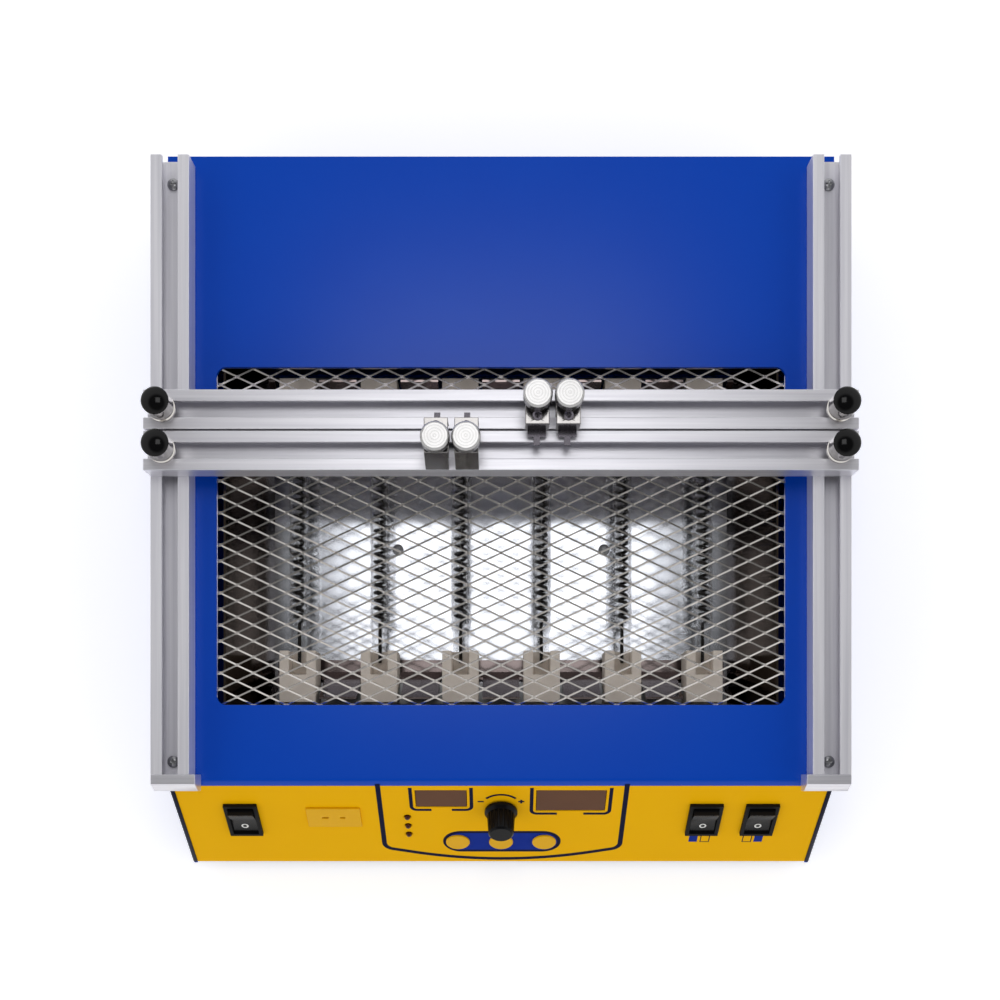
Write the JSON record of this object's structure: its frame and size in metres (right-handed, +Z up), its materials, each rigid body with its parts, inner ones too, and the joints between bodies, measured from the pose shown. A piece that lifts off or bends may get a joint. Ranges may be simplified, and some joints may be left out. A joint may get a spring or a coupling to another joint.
{
  "type": "pcb preheater",
  "caption": "Infrared bench preheater for circuit boards: quartz lamps under a mesh window, side rails with sliding bars and clamps, sloped control panel.",
  "frame": {"origin": "middle of the outline on the bench under the feet", "axes": "+X to the right of the control panel, +Y to the rear, +Z up"},
  "size_m": [0.3528, 0.368, 0.125],
  "materials": {
    "blue_paint": "semi-gloss powder coat",
    "yellow_paint": "semi-gloss powder coat",
    "mesh_steel": "expanded stainless steel",
    "reflector": "polished reflector sheet",
    "bare_steel": "plated steel",
    "steatite": "unglazed steatite",
    "quartz": "clear quartz",
    "coil_wire": "oxidised heating wire",
    "terminal_plate": "nickel plated",
    "rail_aluminium": "clear anodised extrusion",
    "knob_chrome": "dark polished plating",
    "clamp_chrome": "bright plating",
    "turned_aluminium": "satin turned",
    "black_gloss": "moulded",
    "black_matte": "moulded",
    "smoked_lens": "smoked brown window",
    "display_face": "unlit display",
    "yellow_plastic": "moulded",
    "lamp_lens": "unlit lens",
    "board": "solder mask",
    "rubber": "moulded"
  },
  "bodies": {
    "chassis": {"top_cover": "blue_paint", "bottom_pan": "blue_paint", "front_panel": "yellow_paint", "mesh_guard": "mesh_steel", "reflector_pan": "reflector", "reflector_ends": "reflector", "lamp_brackets": "bare_steel", "ceramic_blocks": "steatite", "quartz_tubes": "quartz", "heater_coils": "coil_wire", "lamp_terminals": "terminal_plate", "standoffs": "bare_steel", "pan_screws": "bare_steel", "rail_left": "rail_aluminium", "rail_right": "rail_aluminium", "rail_stops": "rail_aluminium", "switch_housings": "black_matte", "display_lenses": "smoked_lens", "digit_displays": "display_face", "thermocouple_socket": "yellow_plastic", "indicator_lamps": "lamp_lens", "control_board": "board", "encoder": "bare_steel", "power_board": "board", "heat_sink": "rail_aluminium", "heat_shields": "bare_steel", "power_inlet": "black_matte", "rubber_feet": "rubber"},
    "rear_bar": {"rear_bar": "rail_aluminium", "rear_bar_nuts": "bare_steel"},
    "front_bar": {"front_bar": "rail_aluminium", "front_bar_nuts": "bare_steel"},
    "lock_rear_left": {"lock_knob_rear_left": "knob_chrome"},
    "clamp_rear_left": {"bracket_rear_left": "clamp_chrome", "jaw_rear_left": "clamp_chrome", "clamp_nut_rear_left": "bare_steel"},
    "clamp_screw_rear_left": {"clamp_knob_rear_left": "turned_aluminium"},
    "lock_rear_right": {"lock_knob_rear_right": "knob_chrome"},
    "clamp_rear_right": {"bracket_rear_right": "clamp_chrome", "jaw_rear_right": "clamp_chrome", "clamp_nut_rear_right": "bare_steel"},
    "clamp_screw_rear_right": {"clamp_knob_rear_right": "turned_aluminium"},
    "lock_front_left": {"lock_knob_front_left": "knob_chrome"},
    "clamp_front_left": {"bracket_front_left": "clamp_chrome", "jaw_front_left": "clamp_chrome", "clamp_nut_front_left": "bare_steel"},
    "clamp_screw_front_left": {"clamp_knob_front_left": "turned_aluminium"},
    "lock_front_right": {"lock_knob_front_right": "knob_chrome"},
    "clamp_front_right": {"bracket_front_right": "clamp_chrome", "jaw_front_right": "clamp_chrome", "clamp_nut_front_right": "bare_steel"},
    "clamp_screw_front_right": {"clamp_knob_front_right": "turned_aluminium"},
    "main_rocker": {"main_rocker": "black_gloss"},
    "zone_rocker_left": {"zone_rocker_left": "black_gloss"},
    "zone_rocker_right": {"zone_rocker_right": "black_gloss"},
    "adjust_knob": {"adjust_knob": "black_gloss"},
    "button_left": {"button_left": "yellow_plastic"},
    "button_middle": {"button_middle": "yellow_plastic"},
    "button_right": {"button_right": "yellow_plastic"}
  },
  "joints": [
    {"name": "rear_bar_slide", "type": "slide", "parent": "chassis", "child": "rear_bar", "axis": [0, 1, 0], "range_m": [0, 0.105]},
    {"name": "front_bar_slide", "type": "slide", "parent": "chassis", "child": "front_bar", "axis": [0, 1, 0], "range_m": [-0.138, 0]},
    {"name": "lock_turn_rear_left", "type": "hinge", "parent": "rear_bar", "child": "lock_rear_left", "pos_m": [-0.16665, 0.04465, 0.1], "axis": [0, 0, 1], "range_deg": [0, 360]},
    {"name": "clamp_slide_rear_left", "type": "slide", "parent": "rear_bar", "child": "clamp_rear_left", "axis": [1, 0, 0], "range_m": [-0.009, 0]},
    {"name": "clamp_turn_rear_left", "type": "hinge", "parent": "clamp_rear_left", "child": "clamp_screw_rear_left", "pos_m": [0.0175, 0.04465, 0.118], "axis": [0, 0, 1], "range_deg": [0, 360]},
    {"name": "lock_turn_rear_right", "type": "hinge", "parent": "rear_bar", "child": "lock_rear_right", "pos_m": [0.16665, 0.04465, 0.1], "axis": [0, 0, 1], "range_deg": [0, 360]},
    {"name": "clamp_slide_rear_right", "type": "slide", "parent": "rear_bar", "child": "clamp_rear_right", "axis": [1, 0, 0], "range_m": [0, 0.117]},
    {"name": "clamp_turn_rear_right", "type": "hinge", "parent": "clamp_rear_right", "child": "clamp_screw_rear_right", "pos_m": [0.0325, 0.04465, 0.118], "axis": [0, 0, 1], "range_deg": [0, 360]},
    {"name": "lock_turn_front_left", "type": "hinge", "parent": "front_bar", "child": "lock_front_left", "pos_m": [-0.16665, 0.02435, 0.1], "axis": [0, 0, 1], "range_deg": [0, 360]},
    {"name": "clamp_slide_front_left", "type": "slide", "parent": "front_bar", "child": "clamp_front_left", "axis": [1, 0, 0], "range_m": [-0.117, 0]},
    {"name": "clamp_turn_front_left", "type": "hinge", "parent": "clamp_front_left", "child": "clamp_screw_front_left", "pos_m": [-0.0313, 0.02435, 0.118], "axis": [0, 0, 1], "range_deg": [0, 360]},
    {"name": "lock_turn_front_right", "type": "hinge", "parent": "front_bar", "child": "lock_front_right", "pos_m": [0.16665, 0.02435, 0.1], "axis": [0, 0, 1], "range_deg": [0, 360]},
    {"name": "clamp_slide_front_right", "type": "slide", "parent": "front_bar", "child": "clamp_front_right", "axis": [1, 0, 0], "range_m": [0, 0.009]},
    {"name": "clamp_turn_front_right", "type": "hinge", "parent": "clamp_front_right", "child": "clamp_screw_front_right", "pos_m": [-0.0166, 0.02435, 0.118], "axis": [0, 0, 1], "range_deg": [0, 360]},
    {"name": "main_rocker_tilt", "type": "hinge", "parent": "chassis", "child": "main_rocker", "pos_m": [-0.137, -0.15696, 0.04111], "axis": [-1, 0, 0], "range_deg": [0, 22]},
    {"name": "zone_rocker_left_tilt", "type": "hinge", "parent": "chassis", "child": "zone_rocker_left", "pos_m": [0.108, -0.15696, 0.04111], "axis": [-1, 0, 0], "range_deg": [0, 22]},
    {"name": "zone_rocker_right_tilt", "type": "hinge", "parent": "chassis", "child": "zone_rocker_right", "pos_m": [0.1375, -0.15696, 0.04111], "axis": [-1, 0, 0], "range_deg": [0, 22]},
    {"name": "adjust_turn", "type": "hinge", "parent": "chassis", "child": "adjust_knob", "pos_m": [0, -0.15386, 0.04864], "axis": [0, -0.8032, 0.5957], "range_deg": [-150, 150]},
    {"name": "button_left_press", "type": "slide", "parent": "chassis", "child": "button_left", "axis": [0, 0.8032, -0.5957], "range_m": [0, 0.0006], "stiffness_N_per_m": 3000},
    {"name": "button_middle_press", "type": "slide", "parent": "chassis", "child": "button_middle", "axis": [0, 0.8032, -0.5957], "range_m": [0, 0.0006], "stiffness_N_per_m": 3000},
    {"name": "button_right_press", "type": "slide", "parent": "chassis", "child": "button_right", "axis": [0, 0.8032, -0.5957], "range_m": [0, 0.0006], "stiffness_N_per_m": 3000}
  ]
}
